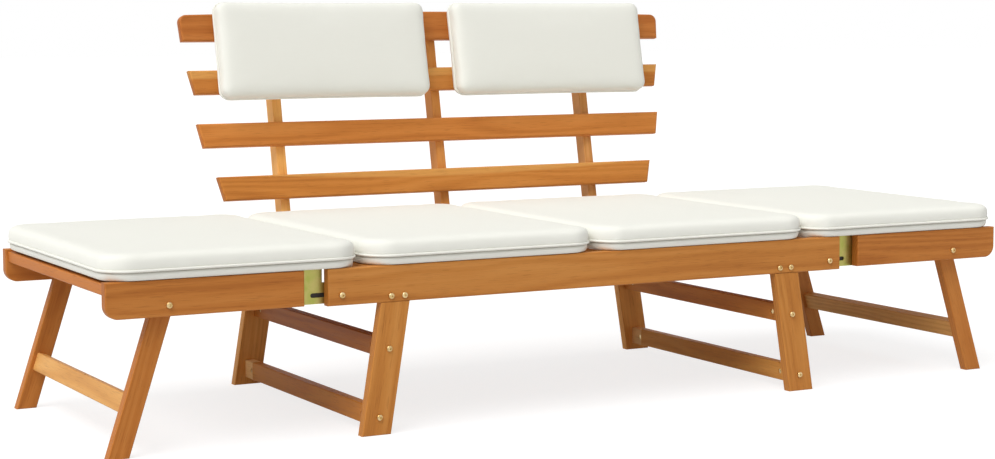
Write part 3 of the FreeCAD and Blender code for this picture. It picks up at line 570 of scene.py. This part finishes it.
def pad(name, width, depth, profile, crown, radius, seam):
    """A stuffed pad round the origin with its sewn-in seam; the base lies on Z = 0."""
    piece = bpy.data.objects.new(name, pad_mesh(name, width, depth, profile, crown, radius))
    bpy.context.scene.collection.objects.link(piece)
    height = coordinates(piece.data)[:, 2]
    held = (np.abs(height - seam + held_drop) < held_band) | (height < held_base)
    stuff(piece, held, foam_cap)
    finer = piece.modifiers.new("finer", "SUBSURF")
    finer.levels = 1
    finer.render_levels = 1
    plain_copy(piece)
    crease(piece.data, seam)
    piece.data.polygons.foreach_set("use_smooth", [True] * len(piece.data.polygons))
    return piece


def weave_group():
    """A plain weave: threads over and under each other in both directions, on cloth measured in metres."""
    group = bpy.data.node_groups.new("plain_weave", "ShaderNodeTree")
    sockets(group, "INPUT", "Vector", "Vector")
    sockets(group, "INPUT", "Float", "Pitch")
    sockets(group, "OUTPUT", "Float", "Threads", "Slub")
    start = add(group, "NodeGroupInput").outputs
    parts = add(group, "ShaderNodeSeparateXYZ", {0: start["Vector"]}).outputs
    turn = maths(group, "DIVIDE", math.pi, start["Pitch"])
    waves = [maths(group, "SINE", maths(group, "MULTIPLY", parts[axis], turn)) for axis in ("X", "Y")]
    threads = maths(group, "MULTIPLY_ADD", maths(group, "MULTIPLY", *waves), 0.5, 0.5)
    slub = stretched_noise(group, start["Vector"], (25.0, 700.0, 1.0), 2.0, 0.5)
    add(group, "NodeGroupOutput", {"Threads": threads, "Slub": slub})
    return group


def cream_cloth():
    """The cover: woven cream polyester, a little darker between the threads, with a soft sheen, and painted
    shade in the groove under the seam.
    """
    material = blank_material("cushion_cloth")
    tree = material.node_tree
    laid = add(tree, "ShaderNodeUVMap", uv_map="cloth").outputs[0]
    sizes = {"Vector": laid, "Pitch": thread_pitch}
    weave = add(tree, "ShaderNodeGroup", sizes, node_tree=weave_group()).outputs
    threads = weave["Threads"]
    slub = weave["Slub"]
    share = maths(tree, "MULTIPLY_ADD", slub, 0.5, maths(tree, "MULTIPLY", threads, 0.5))
    colour = mixed(tree, share, cloth_shade, cloth_cream)
    # Painted shade: the cloth is darkened towards grey along the groove under the seam.
    groove = add(tree, "ShaderNodeAttribute", attribute_name="crease").outputs["Fac"]
    colour = mixed(tree, groove, colour, groove_painted_shade)
    shader = surfaced(tree, colour, remap(tree, slub, new=(0.78, 0.92)), bumped(tree, threads, 0.25, 0.0003))
    shader.inputs["Sheen Weight"].default_value = 0.15
    shader.inputs["Sheen Roughness"].default_value = 0.5
    shader.inputs["Specular IOR Level"].default_value = 0.25
    return material


def piping_tree():
    """Piping: a cord of a given radius swept along the seam's loop, with its own flat cloth map."""
    tree = bpy.data.node_groups.new("seam_piping", "GeometryNodeTree")
    sockets(tree, "INPUT", "Geometry", "Geometry")
    sockets(tree, "INPUT", "Float", "Radius")
    sockets(tree, "INPUT", "Material", "Cloth")
    sockets(tree, "OUTPUT", "Geometry", "Geometry")
    start = add(tree, "NodeGroupInput").outputs
    loop = add(tree, "GeometryNodeMeshToCurve", {"Mesh": start["Geometry"]}).outputs["Curve"]
    sizes = {"Resolution": 10, "Radius": start["Radius"]}
    ring = add(tree, "GeometryNodeCurvePrimitiveCircle", sizes).outputs["Curve"]
    run = add(tree, "GeometryNodeSplineParameter").outputs["Length"]
    curves = []
    for curve in (loop, ring):
        kept = add(tree, "GeometryNodeCaptureAttribute")
        kept.capture_items.new("FLOAT", "Run")
        tree.links.new(curve, kept.inputs["Geometry"])
        tree.links.new(run, kept.inputs["Run"])
        curves.append(kept.outputs)
    ends = {"Curve": curves[0]["Geometry"], "Profile Curve": curves[1]["Geometry"]}
    cord = add(tree, "GeometryNodeCurveToMesh", ends).outputs["Mesh"]
    flat = add(tree, "ShaderNodeCombineXYZ", {"X": curves[0]["Run"], "Y": curves[1]["Run"]}).outputs[0]
    laid = add(tree, "GeometryNodeStoreNamedAttribute", data_type="FLOAT2", domain="CORNER")
    tree.links.new(cord, laid.inputs["Geometry"])
    laid.inputs["Name"].default_value = "cloth"
    tree.links.new(flat, laid.inputs["Value"])
    real = add(tree, "GeometryNodeRealizeInstances", {"Geometry": laid.outputs["Geometry"]}).outputs[0]
    ends = {"Geometry": real, "Material": start["Cloth"]}
    covered = add(tree, "GeometryNodeSetMaterial", ends).outputs["Geometry"]
    add(tree, "NodeGroupOutput", {"Geometry": covered})
    return tree


def piping(name, width, depth, radius, seam):
    """The piping round a pad of that plan, with its centre on the seam."""
    columns = round(width / cell)
    rows = round(depth / cell)
    ring = plan(width / 2 - seam_depth, depth / 2 - seam_depth, radius - seam_depth, draw_in, columns, rows)
    points = np.column_stack([ring, np.full(len(ring), seam)])
    mesh = bpy.data.meshes.new(name)
    mesh.from_pydata(points.tolist(), [(i, (i + 1) % len(points)) for i in range(len(points))], [])
    piece = bpy.data.objects.new(name, mesh)
    bpy.context.scene.collection.objects.link(piece)
    sweep = piece.modifiers.new("sweep", "NODES")
    sweep.node_group = seam_piping
    inputs = [item for item in seam_piping.interface.items_tree if item.in_out == "INPUT"]
    identifiers = {item.name: item.identifier for item in inputs}
    sweep[identifiers["Radius"]] = welt_radius
    sweep[identifiers["Cloth"]] = cushion_cloth
    plain_copy(piece)
    piece.data.polygons.foreach_set("use_smooth", [True] * len(piece.data.polygons))
    return piece


def place_pad(node_name, body, piece, welt, matrix):
    """Puts a pad and its piping in the node's place."""
    for part in (piece, welt):
        part.data.transform(matrix)
        part.data.update()
        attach(part, body)
    piece.data.materials.clear()
    piece.data.materials.append(cushion_cloth)
    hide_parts(node_name)


def seat_pad(node_name, body, left, right):
    """A pad in the place of its node; left and right shift its ends along the bench, as it was laid down."""
    low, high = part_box(node_name)
    width = high.x + right - low.x - left
    depth = high.y - low.y + front_overhang
    centre = ((low.x + left + high.x + right) / 2, (low.y + high.y - front_overhang) / 2, low.z)
    piece = pad(node_name + "_cover", width, depth, seat_profile, seat_crown, corner_radius, seam_level)
    welt = piping(node_name + "_piping", width, depth, corner_radius, seam_level)
    points = coordinates(piece.data)
    along, across = (points[:, :2] + centre[:2]).T
    rail_front, rail_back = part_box("front_rail")
    past_rail = np.clip((rail_front.y - across) / droop_ease, 0, 1)
    between_rails = np.minimum(across - rail_back.y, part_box("rear_rail")[0].y - across)
    last_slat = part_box("seat_slat_10")[1].x
    past_slats = np.minimum(np.abs(along) - last_slat, rail_back.x - slide_room - np.abs(along))
    over_the_gap = np.clip((np.minimum(between_rails, past_slats) - droop_start) / droop_ease, 0, 1)
    unsupported = np.maximum(past_rail, over_the_gap)
    points[:, 2] -= droop * unsupported * np.clip(1 - points[:, 2] / seam_level, 0, 1)
    piece.data.vertices.foreach_set("co", points.ravel())
    place_pad(node_name, body, piece, welt, Matrix.Translation(centre))


seam_piping = piping_tree()
cushion_cloth = cream_cloth()
seat_pad("left_seat_cushion", "base", 0.0, -0.006)
seat_pad("right_seat_cushion", "base", -0.006, -0.001)

# End cushions: the same pads over the wings, reaching past the hinges on to the bench. They are loose, and
# each is turned over on to its neighbour before its wing goes up.
seat_pad("left_end_cushion", "left_end_pad", -0.0045, -0.004)
seat_pad("right_end_cushion", "right_end_pad", -0.001, 0.0075)

# Back cushions: smaller pads of the same cloth, of nearly the same thickness, that stand against the two upper
# back slats. Their sizes run up the slope of the back from the rails' top.
back_foot = Vector((0.0, 0.236805, 0.300))
back_low = 0.269
back_high = 0.466
back_gap = 0.0003
back_radius = 0.020
back_seam = 0.0148
back_crown = 0.0440
back_profile = [
    (0.0090, 0.0), (0.0058, 0.0006), (0.0040, 0.0022), (0.0031, 0.0050), (0.0030, 0.0080), (0.0036, 0.0105),
    (0.0056, 0.0120), (0.0060, 0.0132), (0.0038, 0.0148), (0.0028, 0.0168), (0.0020, 0.0205), (0.0018, 0.0258),
    (0.0021, 0.0312), (0.0032, 0.0360), (0.0056, 0.0397), (0.0098, 0.0424), (0.0158, 0.0440), (0.0240, 0.0446),
]
fuller_up = 0.002
end_shifts = {"left": (-0.002, -0.004), "right": (-0.0015, -0.0005)}
up = Vector((0.0, math.sin(back_lean), math.cos(back_lean)))
out = Vector((0.0, -math.cos(back_lean), math.sin(back_lean)))
for side, (left, right) in end_shifts.items():
    name = side + "_back_cushion"
    low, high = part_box(name)
    width = high.x + right - low.x - left
    middle = (low.x + left + high.x + right) / 2
    height = back_high + fuller_up - back_low
    piece = pad(name + "_cover", width, height, back_profile, back_crown, back_radius, back_seam)
    welt = piping(name + "_piping", width, height, back_radius, back_seam)
    centre = back_foot + up * (back_low + back_high + fuller_up) / 2 + out * back_gap
    matrix = Matrix((
        (1.0, 0.0, 0.0, middle),
        (0.0, up.y, out.y, centre.y),
        (0.0, up.z, out.z, centre.z),
        (0.0, 0.0, 0.0, 1.0),
    ))
    place_pad(name, "base", piece, welt, matrix)

# Floor: a plain white sheet below the feet. To the camera it glows a little, so that it runs out into white
# and still holds the shadow of the bench.
floor_half = 30.0
floor_white = (0.80, 0.80, 0.80, 1.0)
floor_glow = 0.78
floor_share = 0.40


def seen_directly(tree):
    """One where the camera, a reflection or a clear surface shows it, and nought for the light it gives."""
    path = add(tree, "ShaderNodeLightPath").outputs
    seen = maths(tree, "MAXIMUM", path["Is Camera Ray"], path["Is Glossy Ray"])
    return maths(tree, "MAXIMUM", seen, path["Is Transmission Ray"])


floor_mesh = bpy.data.meshes.new("floor")
corners = [(x * floor_half, y * floor_half, 0) for x, y in ((-1, -1), (1, -1), (1, 1), (-1, 1))]
floor_mesh.from_pydata(corners, [], [(0, 1, 2, 3)])
floor = bpy.data.objects.new("floor", floor_mesh)
bpy.context.scene.collection.objects.link(floor)
floor_paint = blank_material("floor_white")
tree = floor_paint.node_tree
matt = add(tree, "ShaderNodeBsdfDiffuse", {"Color": floor_white}).outputs[0]
light = add(tree, "ShaderNodeEmission", {"Strength": floor_glow / (1 - floor_share)}).outputs[0]
glowing = maths(tree, "MULTIPLY", seen_directly(tree), 1 - floor_share)
both = add(tree, "ShaderNodeMixShader", {0: glowing, 1: matt, 2: light}).outputs[0]
add(tree, "ShaderNodeOutputMaterial", {"Surface": both})
floor_mesh.materials.append(floor_paint)

# Light: a pale surround that shows as white, a broad light from the left and a softer one from above the front,
# as in a white studio.
surround = 0.34
white_back = 1.0
world = bpy.data.worlds.new("studio")
bpy.context.scene.world = world
world.use_nodes = True
tree = world.node_tree
tree.nodes.clear()
level = maths(tree, "MULTIPLY_ADD", seen_directly(tree), white_back - surround, surround)
sky = add(tree, "ShaderNodeBackground", {"Color": (1.0, 1.0, 1.0, 1.0), "Strength": level}).outputs[0]
add(tree, "ShaderNodeOutputWorld", {"Surface": sky})


def broad_light(name, place, spread, level):
    """A far light from that direction, as wide as its spread; at level 1 it renders white as white."""
    data = bpy.data.lights.new(name, "SUN")
    data.angle = math.radians(spread)
    data.energy = level * math.pi
    made = bpy.data.objects.new(name, data)
    made.location = place
    made.rotation_euler = (-Vector(place)).to_track_quat("-Z", "Y").to_euler()
    bpy.context.scene.collection.objects.link(made)


broad_light("key_from_the_left", (-2.2, -1.0, 3.2), spread=50.0, level=0.80)
broad_light("fill_from_above", (0.2, -1.2, 3.9), spread=100.0, level=0.12)

# Camera: at the viewpoint of the photograph, worked out from its perspective. It looks a little down and to the
# right, and the shift only sets the photograph's framing.
looks_down = 4.99
looks_right = 29.51
camera_data = bpy.data.cameras.new("camera")
camera_data.sensor_width = 36.0
camera_data.lens = 77.69
camera_data.shift_x = -0.0393
camera_data.shift_y = -0.0303
camera = bpy.data.objects.new("camera", camera_data)
camera.location = (-2.0525, -3.7514, 0.7428)
camera.rotation_euler = (math.radians(90 - looks_down), 0.0, math.radians(-looks_right))
bpy.context.scene.collection.objects.link(camera)
bpy.context.scene.camera = camera
bpy.context.scene.view_settings.view_transform = "Standard"
